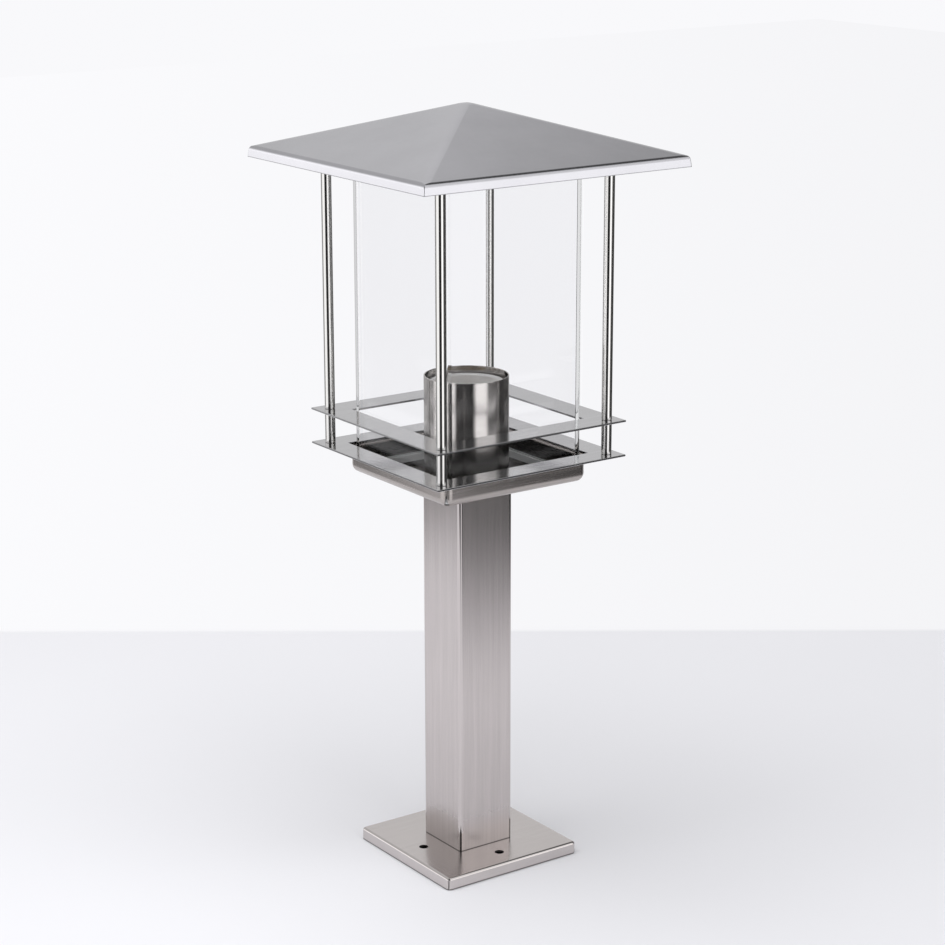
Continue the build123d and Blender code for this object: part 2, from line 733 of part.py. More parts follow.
# Earth tag: flat lug with a crimped barrel
with BuildPart() as earth_tag:
    with BuildSketch(Plane.XY.offset(cap_foot - earth_tag_sheet)):
        with Locations((earth_reach, -earth_tag_length / 2)):
            SlotCenterToCenter(earth_tag_length, earth_tag_width, rotation=90)
        with Locations((earth_reach, 0)):
            Circle(earth_screw_diameter / 2 + hole_clearance, mode=Mode.SUBTRACT)
    extrude(amount=earth_tag_sheet)
    with Locations((earth_reach, -earth_tag_length, earth_barrel_foot)):
        Cylinder(earth_barrel_diameter / 2, earth_barrel_length, align=standing)
earth_tag.part.label = "earth_tag"
export_step(earth_tag.part, "parts/earth_tag.step")

# Earth screw into the post cap
earth_tag_foot = cap_foot - earth_tag_sheet
with BuildPart() as earth_screw:
    with Locations((earth_reach, 0, earth_tag_foot)):
        Cylinder(earth_screw_diameter / 2, earth_tag_sheet + post_cap_sheet, align=standing)
        Cylinder(earth_screw_head / 2, earth_screw_head_height, align=hanging)
earth_screw.part.label = "earth_screw"
export_step(earth_screw.part, "parts/earth_screw.step")
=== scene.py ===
"""Square pedestal lantern in stainless steel: its finishes, seams, screws and thread, in a white studio."""

import logging
from collections.abc import Callable
from dataclasses import astuple, dataclass
from enum import Enum
from math import cos, radians, sin, tau

import bpy
from mathutils import Matrix, Vector


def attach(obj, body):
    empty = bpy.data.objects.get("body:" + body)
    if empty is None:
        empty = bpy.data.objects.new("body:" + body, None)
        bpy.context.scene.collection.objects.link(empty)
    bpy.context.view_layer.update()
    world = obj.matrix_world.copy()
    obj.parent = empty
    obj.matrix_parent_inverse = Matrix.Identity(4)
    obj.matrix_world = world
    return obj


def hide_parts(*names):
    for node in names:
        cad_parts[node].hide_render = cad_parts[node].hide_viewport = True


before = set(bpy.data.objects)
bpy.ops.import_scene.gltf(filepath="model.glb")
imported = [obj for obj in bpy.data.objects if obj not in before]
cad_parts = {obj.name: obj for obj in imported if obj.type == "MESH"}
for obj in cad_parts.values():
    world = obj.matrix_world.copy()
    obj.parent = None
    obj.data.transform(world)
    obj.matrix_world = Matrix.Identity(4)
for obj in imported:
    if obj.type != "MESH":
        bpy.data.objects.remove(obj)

log = logging.getLogger("lantern")
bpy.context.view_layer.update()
MM = 0.001
UP = (0.0, 0.0, 1.0)
DOWN = (0.0, 0.0, -1.0)
FINE = 0.001 * MM
SMOOTH_ANGLE = radians(32)
FACING = 0.9
CORNERS = ("front_left", "front_right", "back_left", "back_right")
Colour = tuple[float, float, float]
Triple = tuple[float, float, float]
Ring = tuple[tuple[float, float], ...]
Settings = dict[str, object]
Inputs = dict[str | int, object]


class Value:
    """One output socket of a node tree, on which Python's operators add Math nodes."""

    def __init__(self, tree: "FinishTree", socket: bpy.types.NodeSocket) -> None:
        """Keep the tree and the socket."""
        self.tree = tree
        self.socket = socket

    def __add__(self, other: "Value | float") -> "Value":
        """Add a value or a number."""
        return self.tree.math("ADD", self, other)

    def __radd__(self, other: float) -> "Value":
        """Add to a number."""
        return self.tree.math("ADD", other, self)

    def __sub__(self, other: "Value | float") -> "Value":
        """Take away a value or a number."""
        return self.tree.math("SUBTRACT", self, other)

    def __rsub__(self, other: float) -> "Value":
        """Take away from a number."""
        return self.tree.math("SUBTRACT", other, self)

    def __mul__(self, other: "Value | float") -> "Value":
        """Multiply by a value or a number."""
        return self.tree.math("MULTIPLY", self, other)

    def __rmul__(self, other: float) -> "Value":
        """Multiply a number."""
        return self.tree.math("MULTIPLY", other, self)

    def __truediv__(self, other: "Value | float") -> "Value":
        """Divide by a value or a number."""
        return self.tree.math("DIVIDE", self, other)

    def __gt__(self, other: "Value | float") -> "Value":
        """Be one where the value is larger, and zero elsewhere."""
        return self.tree.math("GREATER_THAN", self, other)


class FinishTree:
    """A shader node tree with one method for nodes and a few for sums."""

    def __init__(self, tree: bpy.types.NodeTree) -> None:
        """Empty the tree and keep it."""
        tree.nodes.clear()
        self.tree = tree

    def node(
        self,
        kind: str,
        settings: Settings | None = None,
        inputs: Inputs | None = None,
    ) -> bpy.types.Node:
        """Add a node.

        Args:
            kind: the node's type.
            settings: its own properties, set first; "stops" gives a ramp's places and levels.
            inputs: values or links of its sockets, by name or number.

        Returns:
            The node.
        """
        made = self.tree.nodes.new(kind)
        for name, setting in (settings or {}).items():
            if name == "stops":
                self.set_stops(made.color_ramp, setting)
            else:
                setattr(made, name, setting)
        for key, value in (inputs or {}).items():
            if isinstance(value, Value):
                self.tree.links.new(value.socket, made.inputs[key])
            else:
                made.inputs[key].default_value = value
        return made

    @staticmethod
    def set_stops(ramp: bpy.types.ColorRamp, stops: list[tuple[float, float]]) -> None:
        """Give a ramp its grey stops.

        Args:
            ramp: the ramp of a Color Ramp node.
            stops: place and level of each stop, in order.
        """
        while len(ramp.elements) < len(stops):
            ramp.elements.new(0.5)
        for element, (place, level) in zip(ramp.elements, stops):
            element.position = place
            element.color = (level, level, level, 1.0)

    def out(
        self,
        kind: str,
        settings: Settings | None = None,
        inputs: Inputs | None = None,
        output: str | int = 0,
    ) -> Value:
        """Add a node and give one of its outputs as a value."""
        return Value(self, self.node(kind, settings, inputs).outputs[output])

    def math(self, operation: str, first: Value | float, second: Value | float = 0.0) -> Value:
        """Add a Math node on one or two values or numbers."""
        return self.out("ShaderNodeMath", {"operation": operation}, {0: first, 1: second})

    def within(self, value: Value, limit: float) -> Value:
        """Keep a value between a limit and its negative."""
        return self.math("MAXIMUM", self.math("MINIMUM", value, limit), -limit)

    def blend(self, factor: Value | float, first: object, second: object) -> Value:
        """Mix two colours by a factor."""
        settings = {"data_type": "RGBA"}
        return self.out("ShaderNodeMix", settings, {0: factor, 6: first, 7: second}, 2)

    def cover(self, factor: Value, first: Value, second: Value) -> Value:
        """Mix two shaders by a factor."""
        return self.out("ShaderNodeMixShader", {}, {0: factor, 1: first, 2: second})

    def glow(self, colour: Colour, strength: Value) -> Value:
        """Give a shader that shines by itself."""
        return self.out("ShaderNodeEmission", {}, {"Color": (*colour, 1.0), "Strength": strength})

    def shade(self, colour: Colour, level: Value) -> Value:
        """Make a colour lighter or darker by a value."""
        settings = {"operation": "SCALE"}
        return self.out("ShaderNodeVectorMath", settings, {0: colour, "Scale": level})

    def step(self, value: Value, low: Value | float, high: Value | float) -> Value:
        """Rise smoothly from zero to one between two levels of a value."""
        settings = {"interpolation_type": "SMOOTHSTEP"}
        inputs = {"Value": value, "From Min": low, "From Max": high}
        return self.out("ShaderNodeMapRange", settings, inputs)

    @staticmethod
    def turn_over(first: float, last: float, factor: Value) -> Value:
        """Go from one number to another by a factor."""
        return first + (last - first) * factor

    def along(self, place: Value, direction: Vector | Triple) -> Value:
        """Measure a place or ray along a direction."""
        settings = {"operation": "DOT_PRODUCT"}
        return self.out("ShaderNodeVectorMath", settings, {0: place, 1: direction}, "Value")

    def place(self) -> Value:
        """Give the place on the piece, in metres."""
        return self.out("ShaderNodeTexCoord", output="Object")

    def ray(self, name: str) -> Value:
        """Give what is known of the ray that looks, by the output's name."""
        return self.out("ShaderNodeLightPath", output=name)

    def sides(self, place: Value) -> list[Value]:
        """Give the distances from the upright middle axis, square to the sides."""
        return [self.math("ABSOLUTE", self.along(place, axis)) for axis in ((1, 0, 0), (0, 1, 0))]

    def bump(self, depth: float, height: Value) -> Value:
        """Give the normals of a relief with a depth."""
        return self.out("ShaderNodeBump", {}, {"Strength": 1.0, "Distance": depth, "Height": height})

    def noise(self, place: Value, cell: Triple, detail: float = 2.0) -> Value:
        """Give a soft noise from 0 to 1.

        Args:
            place: the coordinates it follows.
            cell: the size of its cells along X, Y and Z, in metres.
            detail: how many finer layers lie on it.

        Returns:
            The noise.
        """
        scale = tuple(1.0 / size for size in cell)
        spread = self.out("ShaderNodeMapping", {"vector_type": "POINT"}, {"Vector": place, "Scale": scale})
        return self.out("ShaderNodeTexNoise", {}, {"Vector": spread, "Scale": 1.0, "Detail": detail})

    def around(self, aside: Value, ahead: Value, ring: Ring) -> Value:
        """Give levels by direction about the middle axis.

        Args:
            aside: how far to the camera's right.
            ahead: how far towards the camera.
            ring: angles to the right of the camera, in degrees, with their levels.

        Returns:
            The level, as a grey.
        """
        turn = self.math("ARCTAN2", aside, ahead) / tau + 0.5
        stops = [((angle + 180) / 360, level) for angle, level in ring]
        return self.out("ShaderNodeValToRGB", {"stops": stops}, {0: turn})


class Grain(Enum):
    """The way in which a sheet, tube or bar was brushed or drawn."""

    ALONG_X = (True, False, False)
    ALONG_Z = (False, False, True)
    AROUND_Z = (True, True, False)
    EVEN = (False, False, False)

    def cell(self, across: float, along: float) -> Triple:
        """Give the size of a noise cell along X, Y and Z."""
        return tuple(along if runs else across for runs in self.value)


@dataclass(frozen=True)
class Finish:
    """A surface finish, of which each kind says what its shader gets."""

    def inputs(self, tree: FinishTree, place: Value) -> Inputs:
        """Give the shader's inputs, by socket."""
        return {}

    def surface(self, tree: FinishTree, shader: Value, place: Value) -> Value:
        """Give what shows: the shader alone, where a kind mixes nothing in."""
        return shader

    def material(self, name: str) -> bpy.types.Material:
        """Make the material.

        Args:
            name: its name.

        Returns:
            The material.
        """
        material = bpy.data.materials.new(name)
        material.use_nodes = True
        tree = FinishTree(material.node_tree)
        place = tree.place()
        shader = tree.out("ShaderNodeBsdfPrincipled", {}, self.inputs(tree, place), "BSDF")
        tree.node("ShaderNodeOutputMaterial", {}, {"Surface": self.surface(tree, shader, place)})
        return material


@dataclass(frozen=True)
class Steel(Finish):
    """Stainless steel with brushing or drawing lines, in wider bands and clouds."""

    tint: Colour
    roughness: float
    grain: Grain
    line: float = 0.25 * MM
    run: float = 35.0 * MM
    band_lines: float = 7.0
    band_runs: float = 3.0
    band_share: float = 0.4
    contrast: float = 0.05
    cloud: float = 0.05
    cloud_cell: Triple = (38 * MM, 38 * MM, 52 * MM)
    swing: float = 0.05
    depth: float = 0.002 * MM
    stretch: float = 0.0
    turn: float = 0.0

    def marks(self, tree: FinishTree, place: Value) -> Value | float:
        """Give a factor on the tone, for what sets some places of the piece apart."""
        return 1.0

    def worn(self, tree: FinishTree, place: Value) -> Value | float:
        """Give a factor on the roughness, for places that are more polished or scuffed."""
        return 1.0

    def inputs(self, tree: FinishTree, place: Value) -> Inputs:
        """Let tone, roughness and relief follow the brushing.

        Args:
            tree: the node tree.
            place: the place on the piece.

        Returns:
            The shader's inputs, by socket.
        """
        lines = tree.noise(place, self.grain.cell(self.line, self.run))
        bands = tree.noise(place, self.grain.cell(self.band_lines * self.line, self.band_runs * self.run))
        clouds = tree.noise(place, self.cloud_cell, detail=3.0)
        brushing = (1.0 - self.band_share) * lines + self.band_share * bands - 0.5
        tone = 1.0 + 2 * self.contrast * brushing + 2 * self.cloud * (clouds - 0.5)
        patches = brushing + 0.5 * clouds - 0.25
        roughness = self.roughness + 2 * self.swing * patches
        return {
            "Base Color": tree.shade(self.tint, tone * self.marks(tree, place)),
            "Metallic": 1.0,
            "Roughness": self.worn(tree, place) * roughness,
            "Anisotropic": self.stretch,
            "Anisotropic Rotation": self.turn,
            "Normal": tree.bump(self.depth, brushing),
        }


@dataclass(frozen=True)
class FootedSteel(Steel):
    """Steel with a dark line of painted shade along its lowest edge."""

    foot: float = 0.0
    lift: float = 0.0
    fade: float = 0.7 * MM
    # how dark the painted shade line at the foot is
    dark: float = 0.12

    def marks(self, tree: FinishTree, place: Value) -> Value:
        """Paint a line of shade along the foot."""
        low = self.foot + self.lift
        rise = tree.step(tree.along(place, UP), low, low + self.fade)
        return tree.turn_over(self.dark, 1.0, rise)


@dataclass(frozen=True)
class SquareTube(FootedSteel):
    """A square tube with polished upright edges and a line of painted shade along its foot."""

    half: float = 0.0
    edge_from: float = 2.6 * MM
    edge_to: float = 1.8 * MM
    polish: float = 0.3
    scuff: float = 1.4
    scuff_height: float = 30.0 * MM

    def worn(self, tree: FinishTree, place: Value) -> Value:
        """Polish the upright edges and scuff the faces near the foot.

        Args:
            tree: the node tree.
            place: the place on the piece.

        Returns:
            The factor on the roughness.
        """
        near = tree.math("MINIMUM", *tree.sides(place))
        edge = tree.step(near, self.half - self.edge_from, self.half - self.edge_to)
        low = 1.0 - tree.step(tree.along(place, UP), self.foot, self.foot + self.scuff_height)
        return tree.turn_over(1.0, self.polish, edge) * tree.turn_over(1.0, self.scuff, low)


@dataclass(frozen=True)
class FoldedPlate(FootedSteel):
    """A folded square plate with polished bends and painted shade along the cut edge that it stands on."""

    half: float = 0.0
    bend_from: float = 2.6 * MM
    bend_to: float = 2.0 * MM
    polish: float = 0.5

    def worn(self, tree: FinishTree, place: Value) -> Value:
        """Polish the bends along the sides."""
        reach = tree.math("MAXIMUM", *tree.sides(place))
        bend = tree.step(reach, self.half - self.bend_from, self.half - self.bend_to)
        return tree.turn_over(1.0, self.polish, bend)


@dataclass(frozen=True)
class CutSheet(Steel):
    """A flat square sheet with painted highlights along its outer cut edges."""

    half: float = 0.0
    edge_from: float = 0.25 * MM
    edge_to: float = 0.05 * MM
    # how much the painted highlight lightens the outer edge
    bright: float = 1.35

    def marks(self, tree: FinishTree, place: Value) -> Value:
        """Paint a highlight along the outer edge."""
        reach = tree.math("MAXIMUM", *tree.sides(place))
        edge = tree.step(reach, self.half - self.edge_from, self.half - self.edge_to)
        return tree.turn_over(1.0, self.bright, edge)


@dataclass(frozen=True)
class DrawnPan(Steel):
    """A drawn square pan, brushed outside, with painted shade darkening its inside."""

    half: float = 0.0
    sheet: float = 0.0
    foot: float = 0.0
    bend: float = 5.0 * MM
    # how dark the painted shade on the pan's inside is
    painted_inside_shade: float = 0.17

    def marks(self, tree: FinishTree, place: Value) -> Value:
        """Paint shade on the inside, which lies within the sheet's middle along walls, bends and bottom.

        Args:
            tree: the node tree.
            place: the place on the piece.

        Returns:
            The factor on the tone.
        """
        past = [side - (self.half - self.bend) for side in tree.sides(place)]
        past.append(self.foot + self.bend - tree.along(place, UP))
        across, along, down = (tree.math("POWER", tree.math("MAXIMUM", way), 2.0) for way in past)
        reach = tree.math("SQRT", across + along + down)
        outside = tree.step(reach, self.bend - self.sheet, self.bend - 0.5 * self.sheet)
        return tree.turn_over(self.painted_inside_shade, 1.0, outside)


@dataclass(frozen=True)
class ClearGlass(Finish):
    """Clear soda-lime glass that lets the lamp's light through to what is inside."""

    tint: Colour = (0.995, 0.995, 1.0)
    index: float = 1.5
    gloss: float = 0.15
    smear: float = 0.012
    smear_cell: Triple = (30 * MM, 30 * MM, 60 * MM)
    smear_from: float = 0.45
    smear_to: float = 0.8
    shadow_tint: Colour = (0.97, 0.975, 0.97)

    def inputs(self, tree: FinishTree, place: Value) -> Inputs:
        """Give a clear body with faint smears."""
        smears = tree.noise(place, self.smear_cell, detail=3.0)
        return {
            "Base Color": (*self.tint, 1.0),
            "Roughness": self.smear * tree.step(smears, self.smear_from, self.smear_to),
            "IOR": self.index,
            "Specular Tint": (self.gloss, self.gloss, self.gloss, 1.0),
            "Transmission Weight": 1.0,
        }

    def surface(self, tree: FinishTree, shader: Value, place: Value) -> Value:
        """Let shadow rays straight through, and rays that were mirrored more than once."""
        clear = tree.out("ShaderNodeBsdfTransparent", {}, {"Color": (*self.shadow_tint, 1.0)})
        trapped = tree.ray("Glossy Depth") > 1.5
        return tree.cover(tree.math("MAXIMUM", tree.ray("Is Shadow Ray"), trapped), shader, clear)


@dataclass(frozen=True)
class Moulded(Finish):
    """A moulded or fired material with a fine speckle: porcelain, rubber, plastic."""

    tint: Colour
    roughness: float
    speck: float = 0.5 * MM
    cloud: float = 12 * MM
    cloud_share: float = 0.7
    contrast: float = 0.05
    swing: float = 0.08
    depth: float = 0.01 * MM

    def inputs(self, tree: FinishTree, place: Value) -> Inputs:
        """Give a speckled and faintly clouded tone.

        Args:
            tree: the node tree.
            place: the place on the piece.

        Returns:
            The shader's inputs, by socket.
        """
        specks = tree.noise(place, (self.speck,) * 3, detail=3.0)
        clouds = tree.noise(place, (self.cloud,) * 3)
        middle = 0.5 * (1.0 + self.cloud_share)
        tone = 1.0 + 2 * self.contrast * (specks + self.cloud_share * clouds - middle)
        return {
            "Base Color": tree.shade(self.tint, tone),
            "Roughness": self.roughness + 2 * self.swing * (clouds - 0.5),
            "Normal": tree.bump(self.depth, specks),
        }


@dataclass(frozen=True)
class Plated(Finish):
    """Brass or zinc-plated steel with faint stains."""

    tint: Colour
    stain: Colour
    roughness: float
    stain_roughness: float = 0.15
    stain_cell: float = 4 * MM
    stain_from: float = 0.45
    stain_to: float = 0.75
    speck: float = 0.3 * MM
    depth: float = 0.003 * MM

    def inputs(self, tree: FinishTree, place: Value) -> Inputs:
        """Give a plated metal with stains that are rougher.

        Args:
            tree: the node tree.
            place: the place on the piece.

        Returns:
            The shader's inputs, by socket.
        """
        stains = tree.noise(place, (self.stain_cell,) * 3, detail=4.0)
        specks = tree.noise(place, (self.speck,) * 3)
        stained = tree.step(stains, self.stain_from, self.stain_to)
        return {
            "Base Color": tree.blend(stained, (*self.tint, 1.0), (*self.stain, 1.0)),
            "Metallic": 1.0,
            "Roughness": self.roughness + self.stain_roughness * stained,
            "Normal": tree.bump(self.depth, specks),
        }


def dress(nodes: list[str], material: bpy.types.Material) -> None:
    """Give CAD nodes a material.

    Args:
        nodes: names of the nodes.
        material: what they get.
    """
    for name in nodes:
        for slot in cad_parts[name].material_slots:
            slot.material = material
        log.info("dressed %s in %s", name, material.name)


def corners_of(name: str) -> tuple[Vector, Vector]:
    """Give the lowest and highest corner of a CAD node's box.

    Args:
        name: the node.

    Returns:
        Both corners, in metres.
    """
    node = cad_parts[name]
    places = [node.matrix_world @ Vector(corner) for corner in node.bound_box]
    low = Vector(min(place[axis] for place in places) for axis in range(3))
    high = Vector(max(place[axis] for place in places) for axis in range(3))
    return low, high


def pick(piece: bpy.types.Object) -> None:
    """Leave one piece selected and active, and nothing else."""
    bpy.ops.object.select_all(action="DESELECT")
    piece.select_set(True)
    bpy.context.view_layer.objects.active = piece


def choose(piece: bpy.types.Object, test: Callable[[Vector], bool]) -> None:
    """Go into edit mode with some faces selected.

    Args:
        piece: the piece.
        test: says by a face's normal whether it is selected.
    """
    pick(piece)
    bpy.ops.object.mode_set(mode="EDIT")
    bpy.ops.mesh.select_mode(type="FACE")
    bpy.ops.mesh.select_all(action="DESELECT")
    bpy.ops.object.mode_set(mode="OBJECT")
    for face in piece.data.polygons:
        face.select = test(face.normal)
    bpy.ops.object.mode_set(mode="EDIT")


def looks_up(normal: Vector) -> bool:
    """Say whether a face looks up."""
    return normal.z > FACING


def looks_down(normal: Vector) -> bool:
    """Say whether a face looks down."""
    return normal.z < -FACING


def looks_aside(normal: Vector) -> bool:
    """Say whether a face looks to a side."""
    return abs(normal.z) < 1.0 - FACING


def choose_all(piece: bpy.types.Object) -> None:
    """Go into edit mode with the whole mesh selected."""
    pick(piece)
    bpy.ops.object.mode_set(mode="EDIT")
    bpy.ops.mesh.select_all(action="SELECT")


def leave() -> None:
    """Go back to object mode."""
    bpy.ops.object.mode_set(mode="OBJECT")


def settle(name: str) -> bpy.types.Object:
    """Name the piece that was just added and apply its place and size.

    Args:
        name: the name.

    Returns:
        The piece.
    """
    piece = bpy.context.object
    piece.name = name
    bpy.ops.object.transform_apply(location=True, rotation=True, scale=True)
    return piece


def block(name: str, size: Triple, middle: Triple = (0.0, 0.0, 0.0)) -> bpy.types.Object:
    """Make a plain block.

    Args:
        name: its name.
        size: its sides along X, Y and Z.
        middle: where its middle lies.

    Returns:
        The block.
    """
    bpy.ops.object.select_all(action="DESELECT")
    bpy.ops.mesh.primitive_cube_add(size=1.0, location=middle)
    bpy.context.object.scale = size
    return settle(name)


def merged_copy(node: str, name: str) -> bpy.types.Object:
    """Copy a CAD node into a new piece whose loose triangles are merged.

    Args:
        node: the CAD node.
        name: the new piece's name.

    Returns:
        The piece.
    """
    piece = bpy.data.objects.new(name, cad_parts[node].data.copy())
    bpy.context.scene.collection.objects.link(piece)
    choose_all(piece)
    bpy.ops.mesh.remove_doubles(threshold=FINE)
    leave()
    return piece


def finish_with(piece: bpy.types.Object, kind: str, **settings: object) -> None:
    """Add a modifier and apply it.

    Args:
        piece: the piece.
        kind: the modifier's type.
        settings: the modifier's properties.
    """
    pick(piece)
    modifier = piece.modifiers.new(kind.lower(), kind)
    for name, setting in settings.items():
        setattr(modifier, name, setting)
    bpy.ops.object.modifier_apply(modifier=modifier.name)


def carve(piece: bpy.types.Object, cutter: bpy.types.Object) -> None:
    """Cut one piece's form out of another and drop it."""
    finish_with(piece, "BOOLEAN", operation="DIFFERENCE", solver="EXACT", object=cutter)
    bpy.data.objects.remove(cutter)


def join(pieces: list[bpy.types.Object], name: str) -> bpy.types.Object:
    """Join pieces into one.

    Args:
        pieces: the pieces, of which the first stays.
        name: the joined piece's name.

    Returns:
        The joined piece.
    """
    pick(pieces[0])
    for piece in pieces[1:]:
        piece.select_set(True)
    bpy.ops.object.join()
    pieces[0].name = name
    return pieces[0]


def copies(piece: bpy.types.Object, places: list[Matrix]) -> list[bpy.types.Object]:
    """Copy a piece to places, each copy with its own mesh, and drop the first one.

    Args:
        piece: the piece.
        places: where the copies go.

    Returns:
        The copies.
    """
    made = []
    for number, place in enumerate(places):
        copy = bpy.data.objects.new(f"{piece.name}_{number}", piece.data.copy())
        copy.data.transform(place)
        bpy.context.scene.collection.objects.link(copy)
        made.append(copy)
    bpy.data.objects.remove(piece)
    return made


def hand_over(piece: bpy.types.Object, node: str, body: str, material: bpy.types.Material) -> None:
    """Smooth and dress a finished piece, and let it stand for a CAD node.

    Args:
        piece: the piece.
        node: the node that it replaces.
        body: the body that it rides on.
        material: its finish.
    """
    pick(piece)
    bpy.ops.object.shade_smooth_by_angle(angle=SMOOTH_ANGLE)
    piece.data.materials.clear()
    piece.data.materials.append(material)
    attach(piece, body)
    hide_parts(node)
    log.info("made %s for %s with %d faces", piece.name, node, len(piece.data.polygons))


@dataclass(frozen=True)
class CornerSeam:
    """The open seam between two folded sides of a square pan, wider at its open end."""

    reach: float
    depth: float
    foot: float
    top: float
    foot_width: float
    top_width: float

    def cutters(self) -> bpy.types.Object:
        """Make the form of the seam at all four corners.

        Returns:
            The four forms as one piece.
        """
        size = (2 * self.depth, self.foot_width, self.top - self.foot)
        blade = block("seam", size, (self.reach, 0.0, 0.5 * (self.foot + self.top)))
        choose(blade, looks_up)
        bpy.ops.transform.resize(value=(1.0, self.top_width / self.foot_width, 1.0))
        leave()
        turns = [Matrix.Rotation(radians(45 + 90 * quarter), 4, "Z") for quarter in range(4)]
        return join(copies(blade, turns), "seams")


class HeadForm(Enum):
    """The form of a screw's head."""

    PAN = "pan"
    SUNK = "sunk"


@dataclass(frozen=True)
class CrossScrew:
    """A small machine screw with a cross recess, its head's face up at the origin."""

    form: HeadForm
    head: float
    head_height: float
    shank: float
    slot: float = 0.9 * MM
    arm_share: float = 0.48
    recess_share: float = 0.62
    recess_taper: float = 0.55
    tip: float = 0.3 * MM
    tip_taper: float = 0.8
    rim: float = 0.8 * MM
    rim_steps: int = 4
    around: int = 40

    def recess(self) -> bpy.types.Object:
        """Make the cross that is cut out of the head.

        Returns:
            The cross, narrower at its bottom.
        """
        depth = self.recess_share * self.head_height
        cross = block("recess", (self.slot, self.slot, 2 * depth))
        choose(cross, looks_aside)
        arm = self.arm_share * self.head - 0.5 * self.slot
        bpy.ops.mesh.extrude_faces_move(TRANSFORM_OT_shrink_fatten={"value": arm})
        leave()
        choose(cross, looks_down)
        taper = (self.recess_taper, self.recess_taper, 1.0)
        bpy.ops.transform.resize(value=taper, center_override=(0.0, 0.0, -depth))
        leave()
        return cross

    def build(self, name: str, length: float) -> bpy.types.Object:
        """Turn the head and shank and cut the recess.

        Args:
            name: the screw's name.
            length: its length with the head.

        Returns:
            The screw.
        """
        bpy.ops.object.select_all(action="DESELECT")
        middle = (0.0, 0.0, -0.5 * self.head_height)
        bpy.ops.mesh.primitive_cylinder_add(
            vertices=self.around, radius=self.head, depth=self.head_height, location=middle)
        screw = settle(name)
        thin = self.shank / self.head
        choose(screw, looks_down)
        if self.form is HeadForm.SUNK:
            bpy.ops.transform.resize(value=(thin, thin, 1.0))
        else:
            bpy.ops.mesh.inset(thickness=self.head - self.shank)
        for run in (length - self.head_height - self.tip, self.tip):
            bpy.ops.mesh.extrude_region_move(TRANSFORM_OT_translate={"value": (0.0, 0.0, -run)})
        bpy.ops.transform.resize(value=(self.tip_taper, self.tip_taper, 1.0))
        leave()
        if self.form is HeadForm.PAN:
            choose(screw, looks_up)
            bpy.ops.mesh.bevel(offset=self.rim, segments=self.rim_steps, affect="EDGES")
            leave()
        carve(screw, self.recess())
        return screw


@dataclass(frozen=True)
class RolledThread:
    """A round sheet shell with a rolled Edison thread."""

    middle: float = 13.05 * MM
    wave: float = 0.55 * MM
    sheet: float = 0.4 * MM
    pitch: float = 3.62 * MM
    steps: int = 12
    around: int = 72
    spare_turns: int = 2
    weld: float = 0.01 * MM

    def radius(self, turn: float) -> float:
        """Give the wave's radius at a part of a turn."""
        return self.middle + self.wave * cos(tau * (turn + 0.5))

    def build(self, name: str, foot: float, top: float) -> bpy.types.Object:
        """Draw the wave, screw it upwards and cut it level.

        Args:
            name: the shell's name.
            foot: its lower end.
            top: its upper end.

        Returns:
            The shell.
        """
        bpy.ops.object.select_all(action="DESELECT")
        start = (self.radius(0.0), 0.0, foot - self.spare_turns * self.pitch)
        bpy.ops.mesh.primitive_plane_add(size=1.0 * MM, location=start)
        shell = settle(name)
        choose_all(shell)
        bpy.ops.mesh.merge(type="CENTER")
        bpy.ops.mesh.select_mode(type="VERT")
        bpy.ops.mesh.select_all(action="SELECT")
        rise = self.pitch / self.steps
        for step in range(self.steps):
            aside = self.radius((step + 1) / self.steps) - self.radius(step / self.steps)
            bpy.ops.mesh.extrude_region_move(TRANSFORM_OT_translate={"value": (aside, 0.0, rise)})
        leave()
        turns = int((top - foot) / self.pitch) + 2 * self.spare_turns
        finish_with(shell, "SCREW", axis="Z", angle=tau, screw_offset=self.pitch, iterations=turns,
                    steps=self.around, render_steps=self.around)
        choose_all(shell)
        bpy.ops.mesh.remove_doubles(threshold=self.weld)
        for level, outward in ((foot, DOWN), (top, UP)):
            bpy.ops.mesh.select_all(action="SELECT")
            bpy.ops.mesh.bisect(plane_co=(0.0, 0.0, level), plane_no=outward, clear_outer=True)
        bpy.ops.mesh.select_all(action="SELECT")
        bpy.ops.mesh.normals_make_consistent(inside=False)
        leave()
        finish_with(shell, "SOLIDIFY", thickness=self.sheet, offset=0.0)
        return shell


@dataclass
class PostAndBase:
    """Folded base plate, square post and the plate in the post's top."""

    # the plate's finish carries a line of painted shade along the foot it stands on
    plate: Steel = FoldedPlate(
        (0.635, 0.595, 0.585), 0.23, Grain.ALONG_X, contrast=0.12, swing=0.04, depth=0.005 * MM,
        lift=0.2 * MM, dark=0.35, half=corners_of("base_plate")[1].x)
    # the tube's finish carries a line of painted shade where it stands on the plate
    tube: Steel = SquareTube(
        (0.61, 0.565, 0.555), 0.25, Grain.ALONG_Z, line=0.35 * MM, run=50 * MM, contrast=0.24,
        swing=0.02, depth=0.004 * MM, stretch=0.5, foot=corners_of("post")[0].z,
        half=corners_of("post")[1].x)
    seam: CornerSeam = CornerSeam(66.0 * MM, 2.6 * MM, -1.0 * MM, 6.1 * MM, 0.6 * MM, 0.5 * MM)

    def dress(self) -> None:
        """Brush the post along its length and the plate across, and open the plate's corner seams."""
        finish = self.plate.material("brushed_plate")
        dress(["post_cap", "terminal_bracket"], finish)
        dress(["post"], self.tube.material("brushed_tube"))
        plate = merged_copy("base_plate", "seamed_base_plate")
        carve(plate, self.seam.cutters())
        hand_over(plate, "base_plate", "stand", finish)


